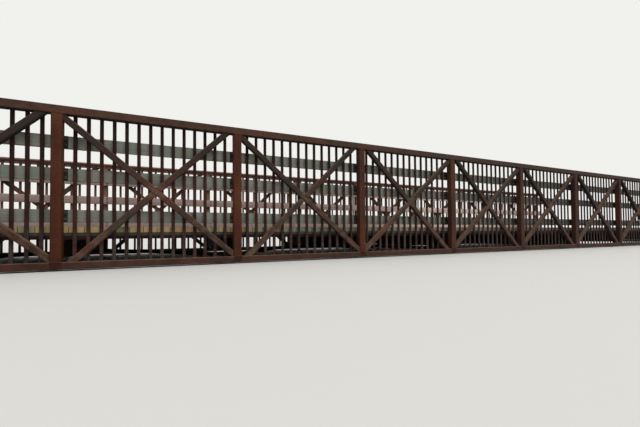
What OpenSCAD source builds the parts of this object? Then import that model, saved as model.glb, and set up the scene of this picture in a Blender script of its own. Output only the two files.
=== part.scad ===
// Pony-truss footbridge: two weathering-steel side trusses with picket
// panels, timber guard rails inside them and a timber deck on steel beams.
// Millimetres, +Z up. The bridge runs along X, the front truss is at -Y,
// and the underside of the bearing plates at mid-span is the origin.

/* [Overall] */

// Length of one bay, post centre to post centre
bay = 1905; // [1700:5:2100]

// Width over the outer faces of the two trusses
width = 3340; // [2600:10:4000]

// Truss height, underside of bottom chord to top of top chord
truss_height = 1753; // [1700:1:2000]

// Height of the deck's top face above the underside of the bottom chord
deck_height = 457; // [450:1:500]

/* [Truss steel] */

// Side of the square posts and depth of both chords across the bridge
post_size = 102; // [89:1:115]

// Height of the top chord
top_chord_height = 89; // [76:1:102]

// Height of the bottom chord
bottom_chord_height = 76; // [64:1:89]

// Side of the square diagonals
diagonal_size = 70; // [51:1:89]

// How far a main diagonal's centre line runs past the posts' faces
main_overlap = 30; // [0:1:45]

// Distance from the posts' faces to a counter diagonal's centre line
counter_inset = 88; // [60:1:140]

// Outer corner radius of posts, chords and diagonals
corner_radius = 9; // [4:1:14]

/* [Picket panels] */

// Width of the pickets and height of the rails they are welded to
picket_size = 38; // [25:1:45]

// Depth of the pickets and of those rails, across the bridge
picket_depth = 19; // [13:1:30]

// Pickets in each bay
picket_count = 14; // [10:1:16]

// Distance from a post's centre to the nearest picket's centre
picket_end = 146; // [110:1:160]

// Height of the panel's lower rail above the underside of the bottom chord
picket_foot = 19; // [5:1:30]

// Gap between neighbouring panels at a post
panel_gap = 10; // [6:1:20]

/* [Timber rails] */

// Thickness of the rail boards
board_thickness = 38; // [30:1:45]

// Height of the rail boards
board_height = 140; // [120:1:150]

// Underside of the kick board above the deck
kick_height = 48; // [20:1:80]

// Underside of the middle board above the deck
middle_height = 506; // [400:1:560]

// Underside of the upper board above the deck
upper_height = 864; // [780:1:900]

// Gap between board ends at a joint
board_gap = 4; // [2:1:10]

/* [Cleats] */

// Width of the plate that carries a board at a post
cleat_width = 150; // [120:1:156]

// Thickness of that plate
cleat_plate = 6; // [4:1:10]

// Width of the block between the plate and the post
cleat_block = 60; // [40:1:80]

// Height of that block
cleat_block_height = 90; // [60:1:110]

// Depth of that block, from the post to the plate
cleat_depth = 38; // [32:1:45]

/* [Deck] */

// Planks over the whole deck
plank_count = 131; // [105:1:150]

// Thickness of the deck planks
plank_thickness = 64; // [50:1:76]

// Gap between planks
plank_gap = 6; // [3:1:12]

// Width of the timber nailers under the planks
nailer_width = 89; // [60:1:110]

// Height of the nailers
nailer_height = 38; // [25:1:50]

// Lines of nailers and stringers across the deck
stringer_lines = 5; // [4:1:7]

// Width of the steel stringers under the nailers
stringer_width = 76; // [50:1:89]

// Height of the stringers
stringer_height = 38; // [30:1:50]

/* [Floor beams] */

// Depth of the floor beams
beam_depth = 203; // [150:1:210]

// Width of the beam flanges
beam_width = 102; // [80:1:102]

// Thickness of the beam flanges
beam_flange = 9; // [6:1:14]

// Thickness of the beam web
beam_web = 7; // [5:1:12]

/* [Wind bracing] */

// Side of the square braces under the floor beams
brace_size = 51; // [38:1:70]

// Distance from the trusses to the ends of the braces
brace_inset = 120; // [60:5:300]

// Gap between the ends of two braces under a floor beam
brace_gap = 6; // [2:1:20]

/* [Bearing plates] */

// Side of the square plates under the chord ends
bearing_size = 254; // [230:2:300]

// Thickness of the bearing plates
bearing_thickness = 19; // [12:1:30]

// Diameter of the anchor holes
anchor_hole = 27; // [18:1:30]

// Distance between the two anchor holes of a plate, across the bridge
anchor_spacing = 180; // [160:2:190]

/* [Hidden] */

// Bays in the span, as many on each side of mid-span, where the main
// diagonals change direction
bays = 10;

// Posts in a truss
posts = bays + 1;

// Half of the span, to the centre of the end posts
half_span = bays * bay / 2;

// Half of the length over the end posts
half_length = half_span + post_size / 2;

// Outer face of a truss
outer_y = width / 2;

// Inner face of posts and chords
inner_y = outer_y - post_size;

// Outer face of the plates that carry the boards
plate_y = inner_y - cleat_depth;

// Outer face of the rail boards
board_y = plate_y - cleat_plate;

// Levels of the chords
chord_z = bearing_thickness;
post_z = chord_z + bottom_chord_height;
top_z = chord_z + truss_height;
top_chord_z = top_z - top_chord_height;
post_height = top_chord_z - post_z;

// Levels of the deck
deck_z = chord_z + deck_height;
plank_z = deck_z - plank_thickness;
nailer_z = plank_z - nailer_height;
stringer_z = nailer_z - stringer_height;
beam_z = stringer_z - beam_depth;

// Length of a board or a chord over the whole bridge
full_length = 2 * half_length;

// Bays spanned by one rail board
board_bays = 2;

// Boards end to end in a rail
boards = bays / board_bays;

// Spacing of the planks and their width
plank_pitch = full_length / plank_count;
plank_width = plank_pitch - plank_gap;

// Spacing of the pickets
picket_pitch = (bay - 2 * picket_end) / (picket_count - 1);

// Spacing of the stringers, the outer ones flush with the plank ends
stringer_pitch = (2 * board_y - nailer_width) / (stringer_lines - 1);

// Clear size of a bay between posts and chords
clear_length = bay - post_size;

// Setback of the diagonals from the faces of the posts
diagonal_inset = (post_size - diagonal_size) / 2;

// Rise of a brace from one side of the deck to the other, and its slope
brace_reach = 2 * (inner_y - brace_inset);
brace_length = bay - brace_gap;
brace_slope = atan2(brace_reach, brace_length);

// Flats that make up each rounded corner of posts and chords
corner_steps = 2;

// Flats at each corner of the slimmer diagonals
diagonal_steps = 1;

// Facets of the anchor holes
hole_facets = 32;

// Overlap that makes cuts run past a face
cut = 1;

// Sub-parts of the bridge

// Sub-part to draw, or all of them

// Colours of steel and timber
steel = [0.25, 0.16, 0.12];
dark_steel = [0.14, 0.12, 0.11];
rail_timber = [0.42, 0.43, 0.39];
deck_timber = [0.45, 0.42, 0.27];

// Position of a post along the bridge, counted from the left end
function post_x(i) = i * bay - half_span;

// Draws its children at the front truss, or turned over to the back one
module side(name) {
    if (name == "front") children();
    else mirror([0, 1, 0]) children();
}

// Outline of a rectangular tube with rounded corners, from one corner
module tube_outline(wide, high, steps) {
    r = corner_radius;
    centres = [
        [wide - r, high - r], [r, high - r], [r, r], [wide - r, r]
    ];
    polygon([
        for (quarter = [0 : 3], step = [0 : steps])
            let (turn = (quarter + step / steps) * 90)
                centres[quarter] + r * [cos(turn), sin(turn)]
    ]);
}

// Tube lying along X
module lying_tube(length, deep, high, steps) {
    rotate([90, 0, 90])
        linear_extrude(height = length)
            tube_outline(deep, high, steps);
}

// Top chord of one truss
module top_chord() {
    translate([-half_length, -outer_y, top_chord_z])
        lying_tube(full_length, post_size, top_chord_height, corner_steps);
}

// Bottom chord of one truss
module bottom_chord() {
    translate([-half_length, -outer_y, chord_z])
        lying_tube(full_length, post_size, bottom_chord_height, corner_steps);
}

// Posts of one truss, standing between the chords
module truss_posts() {
    for (i = [0 : posts - 1])
        translate([post_x(i) - post_size / 2, -outer_y, post_z])
            linear_extrude(height = post_height)
                tube_outline(post_size, post_size, corner_steps);
}

// Whole run of a diagonal, with spare length at both ends to be cut off
function diagonal_run(inset) =
    norm([clear_length - 2 * inset, post_height]) + 4 * diagonal_size;

// Places its children along a rising diagonal, whose centre line crosses the
// faces of the chords this far in from the faces of the posts
module along_diagonal(inset) {
    translate([inset, 0, 0])
        rotate([0, -atan2(post_height, clear_length - 2 * inset), 0])
            translate([-2 * diagonal_size, 0, -diagonal_size / 2])
                children();
}

// Rising diagonal tube of a bay, ends cut to the posts and chords
module diagonal_tube(inset) {
    t = diagonal_size;
    intersection() {
        along_diagonal(inset)
            lying_tube(diagonal_run(inset), t, t, diagonal_steps);
        cube([clear_length, t, post_height]);
    }
}

// Turns a bay's diagonals over, left for right
module turned() {
    translate([clear_length, 0, 0]) mirror([1, 0, 0]) children();
}

// Main diagonal, one whole tube
module main_diagonal() {
    diagonal_tube(-main_overlap);
}

// Counter diagonal, an upper and a lower half welded to the main one
module counter_diagonal() {
    t = diagonal_size;
    difference() {
        turned() diagonal_tube(counter_inset);
        along_diagonal(-main_overlap)
            translate([0, -cut, 0])
                cube([diagonal_run(-main_overlap), t + 2 * cut, t]);
    }
}

// Places its children in bay i of the front truss, turned over in the left
// half of the span, so that the main diagonals fall towards mid-span
module in_bay(i) {
    translate([
        post_x(i) + post_size / 2, -outer_y + diagonal_inset, post_z
    ])
        if (i < bays / 2) turned() children();
        else children();
}

// Diagonals from a left post's foot to a right post's head
module rising_diagonals() {
    for (i = [0 : bays - 1])
        in_bay(i)
            if (i < bays / 2) counter_diagonal();
            else main_diagonal();
}

// Diagonals from a left post's head to a right post's foot
module falling_diagonals() {
    for (i = [0 : bays - 1])
        in_bay(i)
            if (i < bays / 2) main_diagonal();
            else counter_diagonal();
}

// Picket panel of one bay: a lower and an upper rail with the pickets
module picket_panel(i) {
    low = chord_z + picket_foot;
    high = top_z - (top_chord_height + picket_size) / 2;
    left = i == 0 ? -half_length : post_x(i) + panel_gap / 2;
    right = i == bays - 1 ? half_length : post_x(i + 1) - panel_gap / 2;
    for (z = [low, high])
        translate([left, -inner_y, z])
            cube([right - left, picket_depth, picket_size]);
    for (k = [0 : picket_count - 1])
        translate([
            post_x(i) + picket_end + k * picket_pitch - picket_size / 2,
            -inner_y, low
        ])
            cube([picket_size, picket_depth, high - low + picket_size]);
}

// Line of rail boards, jointed at every second post
module rail_boards(height) {
    for (b = [0 : boards - 1]) {
        left = b == 0 ? -half_length
            : post_x(b * board_bays) + board_gap / 2;
        right = b == boards - 1 ? half_length
            : post_x((b + 1) * board_bays) - board_gap / 2;
        translate([left, -board_y, deck_z + height])
            cube([right - left, board_thickness, board_height]);
    }
}

// Blocks on the inner faces of the posts, one behind each board
module cleat_blocks() {
    rise = (board_height - cleat_block_height) / 2;
    for (i = [0 : posts - 1], h = [kick_height, middle_height, upper_height])
        translate([post_x(i) - cleat_block / 2, -inner_y, deck_z + h + rise])
            cube([cleat_block, cleat_depth, cleat_block_height]);
}

// Plates that carry the boards, kept within the ends of the bridge
module cleat_plates() {
    for (i = [0 : posts - 1], h = [kick_height, middle_height, upper_height]) {
        left = max(post_x(i) - cleat_width / 2, -half_length);
        right = min(post_x(i) + cleat_width / 2, half_length);
        translate([left, -plate_y, deck_z + h])
            cube([right - left, cleat_plate, board_height]);
    }
}

// Deck planks, laid across the bridge
module planks() {
    for (i = [0 : plank_count - 1])
        translate([
            -half_length + i * plank_pitch + plank_gap / 2, -board_y, plank_z
        ])
            cube([plank_width, 2 * board_y, plank_thickness]);
}

// Bars along the bridge in evenly spaced lines under the deck
module deck_lines(wide, high, bottom) {
    for (i = [0 : stringer_lines - 1])
        translate([
            -half_length,
            -board_y + nailer_width / 2 + i * stringer_pitch - wide / 2,
            bottom
        ])
            cube([full_length, wide, high]);
}

// Floor beams of I section, one at every pair of posts
module beams() {
    for (i = [0 : posts - 1])
        translate([post_x(i), -inner_y, beam_z]) {
            for (z = [0, beam_depth - beam_flange])
                translate([-beam_width / 2, 0, z])
                    cube([beam_width, 2 * inner_y, beam_flange]);
            translate([-beam_web / 2, 0, 0])
                cube([beam_web, 2 * inner_y, beam_depth]);
        }
}

// Braces under the floor beams, one in each bay, to and fro
module braces() {
    half_end = brace_size / (2 * cos(brace_slope));
    for (i = [0 : bays - 1]) {
        sign = i % 2 == 0 ? 1 : -1;
        start = -sign * brace_reach / 2;
        end = sign * brace_reach / 2;
        translate([post_x(i) + brace_gap / 2, 0, beam_z - brace_size])
            linear_extrude(height = brace_size)
                polygon([
                    [0, start - half_end], [brace_length, end - half_end],
                    [brace_length, end + half_end], [0, start + half_end]
                ]);
    }
}

// Bearing plates under the four chord ends, each with two anchor holes
module bearings() {
    for (sx = [-1, 1], sy = [-1, 1])
        translate([
            sx * (half_length - bearing_size / 2),
            sy * (outer_y - post_size / 2), 0
        ])
            difference() {
                translate([-bearing_size / 2, -bearing_size / 2, 0])
                    cube([bearing_size, bearing_size, bearing_thickness]);
                for (hole = [-1, 1])
                    translate([0, hole * anchor_spacing / 2, -cut])
                        cylinder(
                            h = bearing_thickness + 2 * cut,
                            d = anchor_hole, $fn = hole_facets
                        );
            }
}

module front_top_chord() {
    color(steel) side("front") top_chord();
}

module front_bottom_chord() {
    color(steel) side("front") bottom_chord();
}

module front_posts() {
    color(steel) side("front") truss_posts();
}

module front_rising_diagonals() {
    color(steel) side("front") rising_diagonals();
}

module front_falling_diagonals() {
    color(steel) side("front") falling_diagonals();
}

module front_pickets_1() {
    color(steel) side("front") picket_panel(0);
}

module front_pickets_2() {
    color(steel) side("front") picket_panel(1);
}

module front_pickets_3() {
    color(steel) side("front") picket_panel(2);
}

module front_pickets_4() {
    color(steel) side("front") picket_panel(3);
}

module front_pickets_5() {
    color(steel) side("front") picket_panel(4);
}

module front_pickets_6() {
    color(steel) side("front") picket_panel(5);
}

module front_pickets_7() {
    color(steel) side("front") picket_panel(6);
}

module front_pickets_8() {
    color(steel) side("front") picket_panel(7);
}

module front_pickets_9() {
    color(steel) side("front") picket_panel(8);
}

module front_pickets_10() {
    color(steel) side("front") picket_panel(9);
}

module front_upper_rail() {
    color(rail_timber) side("front") rail_boards(upper_height);
}

module front_middle_rail() {
    color(rail_timber) side("front") rail_boards(middle_height);
}

module front_kick_board() {
    color(rail_timber) side("front") rail_boards(kick_height);
}

module front_cleat_blocks() {
    color(dark_steel) side("front") cleat_blocks();
}

module front_cleat_plates() {
    color(dark_steel) side("front") cleat_plates();
}

module back_top_chord() {
    color(steel) side("back") top_chord();
}

module back_bottom_chord() {
    color(steel) side("back") bottom_chord();
}

module back_posts() {
    color(steel) side("back") truss_posts();
}

module back_rising_diagonals() {
    color(steel) side("back") rising_diagonals();
}

module back_falling_diagonals() {
    color(steel) side("back") falling_diagonals();
}

module back_pickets_1() {
    color(steel) side("back") picket_panel(0);
}

module back_pickets_2() {
    color(steel) side("back") picket_panel(1);
}

module back_pickets_3() {
    color(steel) side("back") picket_panel(2);
}

module back_pickets_4() {
    color(steel) side("back") picket_panel(3);
}

module back_pickets_5() {
    color(steel) side("back") picket_panel(4);
}

module back_pickets_6() {
    color(steel) side("back") picket_panel(5);
}

module back_pickets_7() {
    color(steel) side("back") picket_panel(6);
}

module back_pickets_8() {
    color(steel) side("back") picket_panel(7);
}

module back_pickets_9() {
    color(steel) side("back") picket_panel(8);
}

module back_pickets_10() {
    color(steel) side("back") picket_panel(9);
}

module back_upper_rail() {
    color(rail_timber) side("back") rail_boards(upper_height);
}

module back_middle_rail() {
    color(rail_timber) side("back") rail_boards(middle_height);
}

module back_kick_board() {
    color(rail_timber) side("back") rail_boards(kick_height);
}

module back_cleat_blocks() {
    color(dark_steel) side("back") cleat_blocks();
}

module back_cleat_plates() {
    color(dark_steel) side("back") cleat_plates();
}

module deck_planks() {
    color(deck_timber) planks();
}

module nailers() {
    color(deck_timber) deck_lines(nailer_width, nailer_height, nailer_z);
}

module stringers() {
    color(dark_steel)
        deck_lines(stringer_width, stringer_height, stringer_z);
}

module floor_beams() {
    color(dark_steel) beams();
}

module wind_braces() {
    color(dark_steel) braces();
}

module bearing_plates() {
    color(dark_steel) bearings();
}

front_top_chord();
front_bottom_chord();
front_posts();
front_rising_diagonals();
front_falling_diagonals();
front_pickets_1();
front_pickets_2();
front_pickets_3();
front_pickets_4();
front_pickets_5();
front_pickets_6();
front_pickets_7();
front_pickets_8();
front_pickets_9();
front_pickets_10();
front_upper_rail();
front_middle_rail();
front_kick_board();
front_cleat_blocks();
front_cleat_plates();
back_top_chord();
back_bottom_chord();
back_posts();
back_rising_diagonals();
back_falling_diagonals();
back_pickets_1();
back_pickets_2();
back_pickets_3();
back_pickets_4();
back_pickets_5();
back_pickets_6();
back_pickets_7();
back_pickets_8();
back_pickets_9();
back_pickets_10();
back_upper_rail();
back_middle_rail();
back_kick_board();
back_cleat_blocks();
back_cleat_plates();
deck_planks();
nailers();
stringers();
floor_beams();
wind_braces();
bearing_plates();
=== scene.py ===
import math

import bmesh
import bpy
from mathutils import Matrix, Vector


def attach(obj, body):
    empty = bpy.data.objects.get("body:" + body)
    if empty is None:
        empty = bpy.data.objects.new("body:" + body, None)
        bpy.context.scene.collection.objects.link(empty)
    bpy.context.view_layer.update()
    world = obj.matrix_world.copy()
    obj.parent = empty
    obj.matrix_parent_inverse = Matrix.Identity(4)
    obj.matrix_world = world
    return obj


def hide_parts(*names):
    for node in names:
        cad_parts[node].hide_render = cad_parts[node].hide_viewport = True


# Everything is in metres and in the frame of the solids: +X along the
# bridge, +Y across it towards the back truss, and +Z up from the underside
# of the bearing plates.
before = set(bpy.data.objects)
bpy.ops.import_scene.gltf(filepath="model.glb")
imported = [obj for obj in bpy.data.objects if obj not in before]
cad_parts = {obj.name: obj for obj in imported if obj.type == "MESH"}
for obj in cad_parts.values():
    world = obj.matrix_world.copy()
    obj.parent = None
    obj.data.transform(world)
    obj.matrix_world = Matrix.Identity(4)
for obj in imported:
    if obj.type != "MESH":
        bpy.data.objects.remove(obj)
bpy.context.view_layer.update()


# Camera
# It stands low, 4.37 m in front of the near truss and 0.54 of a bay to the
# right of the fourth post, turned to the right along the bridge and slightly
# up. The lens is shifted up a little, as the photograph's framing shows.
CAMERA_PLACE = Vector((-2.785, -6.038, 0.369))
CAMERA_YAW = math.radians(25.18)
CAMERA_PITCH = math.radians(1.25)
CAMERA_ROLL = math.radians(-0.50)
FOCAL_PIXELS = 334.1
SHIFT_PIXELS = 13.5
PHOTO_WIDTH = 640

forward = Vector((
    math.sin(CAMERA_YAW) * math.cos(CAMERA_PITCH),
    math.cos(CAMERA_YAW) * math.cos(CAMERA_PITCH),
    math.sin(CAMERA_PITCH),
))
level = Vector((math.cos(CAMERA_YAW), -math.sin(CAMERA_YAW), 0))
upward = level.cross(forward)
right = level * math.cos(CAMERA_ROLL) + upward * math.sin(CAMERA_ROLL)
above = upward * math.cos(CAMERA_ROLL) - level * math.sin(CAMERA_ROLL)

camera_data = bpy.data.cameras.new("camera")
camera_data.sensor_width = 36
camera_data.lens = camera_data.sensor_width * FOCAL_PIXELS / PHOTO_WIDTH
camera_data.shift_y = SHIFT_PIXELS / PHOTO_WIDTH
camera_data.clip_end = 1000
camera = bpy.data.objects.new("camera", camera_data)
turn = Matrix((right, above, -forward)).transposed()
camera.matrix_world = Matrix.Translation(CAMERA_PLACE) @ turn.to_4x4()
bpy.context.scene.collection.objects.link(camera)
bpy.context.scene.camera = camera


# Studio
# A pale plain floor under the bearing plates, an even pale surround and one
# soft lamp high on the right, which together light a white card as white.
FLOOR_SIZE = 600
FLOOR_COLOUR = "#DEDDD8"
SURROUND_COLOUR = "#F1F1EE"
SURROUND_LIGHT = 0.72
LAMP_STRENGTH = 1.25
LAMP_SPREAD = math.radians(50)
LAMP_TILT = (math.radians(38), math.radians(20), 0)

bpy.context.scene.view_settings.view_transform = "Standard"


def srgb(hex_colour, alpha=1.0):
    """Linear colour of an sRGB hex value."""
    channels = [int(hex_colour[i:i + 2], 16) / 255 for i in (1, 3, 5)]
    linear = [
        c / 12.92 if c <= 0.04045 else ((c + 0.055) / 1.055) ** 2.4
        for c in channels
    ]
    return (*linear, alpha)


def add(tree, kind, settings=None, inputs=None):
    """Adds a node to a tree, with settings, and inputs set or linked.

    Inputs go by name or by number. On a Map Range node 0 is the value, 1
    and 2 the range it comes from, and 3 and 4 the range it goes to. On a
    colour Mix node 6 and 7 are the colours and 0 is the share of the second.
    """
    node = tree.nodes.new(kind)
    for name, value in (settings or {}).items():
        setattr(node, name, value)
    for key, value in (inputs or {}).items():
        if isinstance(value, bpy.types.NodeSocket):
            tree.links.new(value, node.inputs[key])
        else:
            node.inputs[key].default_value = value
    return node


def new_material(name):
    """An empty node material and its tree."""
    material = bpy.data.materials.new(name)
    material.use_nodes = True
    material.node_tree.nodes.clear()
    return material, material.node_tree


def new_object(name, mesh):
    """Links a mesh to the scene as an object at the origin."""
    thing = bpy.data.objects.new(name, mesh)
    bpy.context.scene.collection.objects.link(thing)
    return thing


floor_mesh = bpy.data.meshes.new("studio_floor")
half_floor = FLOOR_SIZE / 2
floor_mesh.from_pydata(
    [
        (-half_floor, -half_floor, 0), (half_floor, -half_floor, 0),
        (half_floor, half_floor, 0), (-half_floor, half_floor, 0),
    ],
    [], [(0, 1, 2, 3)],
)
floor = new_object("studio_floor", floor_mesh)
# matt paint, so that the floor shows a soft shadow and no gloss
floor_paint, tree = new_material("studio_floor_paint")
shader = add(tree, "ShaderNodeBsdfPrincipled", inputs={
    "Base Color": srgb(FLOOR_COLOUR), "Roughness": 0.9,
})
add(tree, "ShaderNodeOutputMaterial", inputs={0: shader.outputs[0]})
floor_mesh.materials.append(floor_paint)

surround = bpy.data.worlds.new("studio_surround")
surround.use_nodes = True
tree = surround.node_tree
tree.nodes.clear()
path = add(tree, "ShaderNodeLightPath")
seen = add(tree, "ShaderNodeMath", {"operation": "MAXIMUM"}, {
    0: path.outputs["Is Camera Ray"], 1: path.outputs["Is Glossy Ray"],
})
seen = add(tree, "ShaderNodeMath", {"operation": "MAXIMUM"}, {
    0: seen.outputs[0], 1: path.outputs["Is Transmission Ray"],
})
lighting = add(tree, "ShaderNodeBackground", inputs={
    "Color": srgb("#FFFFFF"), "Strength": SURROUND_LIGHT,
})
backdrop = add(tree, "ShaderNodeBackground", inputs={
    "Color": srgb(SURROUND_COLOUR), "Strength": 1.0,
})
chosen = add(tree, "ShaderNodeMixShader", inputs={
    0: seen.outputs[0], 1: lighting.outputs[0], 2: backdrop.outputs[0],
})
add(tree, "ShaderNodeOutputWorld", inputs={0: chosen.outputs[0]})
bpy.context.scene.world = surround

lamp_data = bpy.data.lights.new("soft_lamp", "SUN")
lamp_data.energy = LAMP_STRENGTH
lamp_data.angle = LAMP_SPREAD
lamp = bpy.data.objects.new("soft_lamp", lamp_data)
lamp.rotation_euler = LAMP_TILT
bpy.context.scene.collection.objects.link(lamp)


# Truss tubes
# Chords, posts and crossed diagonals are square tubes of weathering steel,
# left bare so that a tight rust skin protects them. The mill's rounded
# corners are in the solids, which keep their shape here.
TRUSSES = {"front": -1, "back": 1}
BAY = 1.905
POST_FOOT = 0.095
POST_HEAD = 1.683
MID_HEIGHT = (POST_FOOT + POST_HEAD) / 2

# where along the bridge and up the truss the steel's colour changes, and how
# far runs from a post spread on the chord and dust spreads round a crossing
DAMP_EDGE = (-3.4, -3.75)
DAMP_HEIGHT = (1.2, 0.7)
SHADE_EDGE = (-1.0, 2.5)
STAIN_EDGE = (0.064, 0.054)
CROSSING_EDGE = (0.13, 0.05)


def surface_points(tree):
    """The place on a surface, its parts, and the parts of its facing."""
    place = add(tree, "ShaderNodeTexCoord").outputs["Object"]
    spot = add(tree, "ShaderNodeSeparateXYZ", inputs={0: place})
    normal = add(tree, "ShaderNodeNewGeometry").outputs["Normal"]
    facing = add(tree, "ShaderNodeSeparateXYZ", inputs={0: normal})
    return place, spot, facing


def walkway_mask(tree, spot, facing, start, full, share):
    """Marks the faces that look towards the walkway from either side."""
    side = add(tree, "ShaderNodeMath", {"operation": "SIGN"}, {
        0: spot.outputs[1],
    })
    away = add(tree, "ShaderNodeMath", {"operation": "MULTIPLY"}, {
        0: side.outputs[0], 1: facing.outputs[1],
    })
    return add(tree, "ShaderNodeMapRange", inputs={
        0: away.outputs[0], 1: start, 2: full, 4: share,
    })


def beside_post(tree, spot):
    """How far along the bridge the middle of the nearest post is."""
    return add(tree, "ShaderNodeMath", {"operation": "PINGPONG"}, {
        0: spot.outputs[0], 1: BAY / 2,
    })


def weathering_steel(
        name, deep, body, bloom, streak, dust, sunlit,
        dark_height=None, splash=None, post_stain=False, crossing=False,
        streaks=0.5, painted_shade=0.0, damp=0.0,
):
    """Rusted bare steel: a matt oxide skin with dark and orange patches,
    runs down its faces, and dust on what faces up.

    dark_height and splash each hold the height where a change starts, the
    height where it is full, and its full share.
    """
    material, tree = new_material(name)
    place, spot, facing = surface_points(tree)

    # patches of about 120 mm, mottling of about 15 mm, and broad changes
    # over about half a metre
    patches = add(tree, "ShaderNodeTexNoise", inputs={
        "Vector": place, "Scale": 8.0, "Detail": 5.0, "Roughness": 0.62,
    })
    mottle = add(tree, "ShaderNodeTexNoise", inputs={
        "Vector": place, "Scale": 62.0, "Detail": 4.0, "Roughness": 0.6,
    })
    broad = add(tree, "ShaderNodeTexNoise", inputs={
        "Vector": place, "Scale": 1.7, "Detail": 3.0, "Roughness": 0.5,
    })
    patch_mask = add(tree, "ShaderNodeMapRange", inputs={
        0: patches.outputs[0], 1: 0.36, 2: 0.60,
    })
    colour = add(tree, "ShaderNodeMix", {"data_type": "RGBA"}, {
        0: patch_mask.outputs[0], 6: srgb(deep), 7: srgb(body),
    })
    bloom_mask = add(tree, "ShaderNodeMapRange", inputs={
        0: broad.outputs[0], 1: 0.44, 2: 0.66, 4: 0.85,
    })
    bloom_mask = add(tree, "ShaderNodeMath", {"operation": "MULTIPLY"}, {
        0: bloom_mask.outputs[0], 1: mottle.outputs[0],
    })
    bloom_mask = add(tree, "ShaderNodeMath", {
        "operation": "MULTIPLY", "use_clamp": True,
    }, {0: bloom_mask.outputs[0], 1: 1.7})
    colour = add(tree, "ShaderNodeMix", {"data_type": "RGBA"}, {
        0: bloom_mask.outputs[0], 6: colour.outputs[2], 7: srgb(bloom),
    })

    # runs about 25 mm wide and half a metre long
    stretched = add(tree, "ShaderNodeVectorMath", {"operation": "MULTIPLY"}, {
        0: place, 1: (38.0, 38.0, 1.6),
    })
    runs = add(tree, "ShaderNodeTexNoise", inputs={
        "Vector": stretched.outputs[0], "Scale": 1.0, "Detail": 3.0,
    })
    run_mask = add(tree, "ShaderNodeMapRange", inputs={
        0: runs.outputs[0], 1: 0.52, 2: 0.68, 4: streaks,
    })
    colour = add(tree, "ShaderNodeMix", {"data_type": "RGBA"}, {
        0: run_mask.outputs[0], 6: colour.outputs[2], 7: srgb(streak),
    })

    if painted_shade:
        # painted shade: right of mid-span the steel is darker, greyer and less
        # red, as in deeper shade
        shady = add(tree, "ShaderNodeMapRange", inputs={
            0: spot.outputs[0], 1: SHADE_EDGE[0], 2: SHADE_EDGE[1],
            4: painted_shade,
        })
        colour = add(tree, "ShaderNodeMix", {"data_type": "RGBA"}, {
            0: shady.outputs[0], 6: colour.outputs[2], 7: srgb("#343131"),
        })

    if damp:
        # low on the left it is damp, darker and redder
        leftward = add(tree, "ShaderNodeMapRange", inputs={
            0: spot.outputs[0], 1: DAMP_EDGE[0], 2: DAMP_EDGE[1], 4: damp,
        })
        low = add(tree, "ShaderNodeMapRange", inputs={
            0: spot.outputs[2], 1: DAMP_HEIGHT[0], 2: DAMP_HEIGHT[1],
        })
        shade_side_tone = add(tree, "ShaderNodeMath", {"operation": "MULTIPLY"}, {
            0: leftward.outputs[0], 1: low.outputs[0],
        })
        colour = add(tree, "ShaderNodeMix", {"data_type": "RGBA"}, {
            0: shade_side_tone.outputs[0], 6: colour.outputs[2], 7: srgb("#35140C"),
        })

    # painted light: the faces towards the walkway are lighter and redder, as
    # if sunlit
    inward = walkway_mask(
        tree, spot, facing, start=-0.3, full=-0.8, share=0.8
    )
    colour = add(tree, "ShaderNodeMix", {"data_type": "RGBA"}, {
        0: inward.outputs[0], 6: colour.outputs[2], 7: srgb(sunlit),
    })

    if dark_height:
        # painted shade, with some dark staining: the steel is darker towards
        # the top of the truss
        height = add(tree, "ShaderNodeMapRange", inputs={
            0: spot.outputs[2], 1: dark_height[0], 2: dark_height[1],
            4: dark_height[2],
        })
        colour = add(tree, "ShaderNodeMix", {"data_type": "RGBA"}, {
            0: height.outputs[0], 6: colour.outputs[2], 7: srgb(deep),
        })

    if splash:
        # dust and splashes have settled on the lower part
        height = add(tree, "ShaderNodeMapRange", inputs={
            0: spot.outputs[2], 1: splash[0], 2: splash[1], 4: splash[2],
        })
        height = add(tree, "ShaderNodeMath", {"operation": "MULTIPLY"}, {
            0: height.outputs[0], 1: patch_mask.outputs[0],
        })
        colour = add(tree, "ShaderNodeMix", {"data_type": "RGBA"}, {
            0: height.outputs[0], 6: colour.outputs[2], 7: srgb(dust),
        })

    if post_stain:
        # wet runs from each post have stained the chord below it
        beside = beside_post(tree, spot)
        ragged = add(tree, "ShaderNodeMath", {"operation": "MULTIPLY_ADD"}, {
            0: mottle.outputs[0], 1: 0.016, 2: beside.outputs[0],
        })
        stain = add(tree, "ShaderNodeMapRange", inputs={
            0: ragged.outputs[0], 1: STAIN_EDGE[0], 2: STAIN_EDGE[1],
            4: 0.85,
        })
        colour = add(tree, "ShaderNodeMix", {"data_type": "RGBA"}, {
            0: stain.outputs[0], 6: colour.outputs[2], 7: srgb("#331A15"),
        })

    if crossing:
        # the welded crossing in the middle of each bay is dustier
        beside = beside_post(tree, spot)
        beside = add(tree, "ShaderNodeMath", {"operation": "SUBTRACT"}, {
            0: BAY / 2, 1: beside.outputs[0],
        })
        off_level = add(tree, "ShaderNodeMath", {"operation": "SUBTRACT"}, {
            0: spot.outputs[2], 1: MID_HEIGHT,
        })
        away = add(tree, "ShaderNodeCombineXYZ", inputs={
            0: beside.outputs[0], 1: off_level.outputs[0],
        })
        away = add(tree, "ShaderNodeVectorMath", {"operation": "LENGTH"}, {
            0: away.outputs[0],
        })
        near = add(tree, "ShaderNodeMapRange", inputs={
            0: away.outputs["Value"],
            1: CROSSING_EDGE[0], 2: CROSSING_EDGE[1], 4: 0.5,
        })
        near = add(tree, "ShaderNodeMath", {"operation": "MULTIPLY"}, {
            0: near.outputs[0], 1: mottle.outputs[0],
        })
        colour = add(tree, "ShaderNodeMix", {"data_type": "RGBA"}, {
            0: near.outputs[0], 6: colour.outputs[2], 7: srgb(dust),
        })
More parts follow.
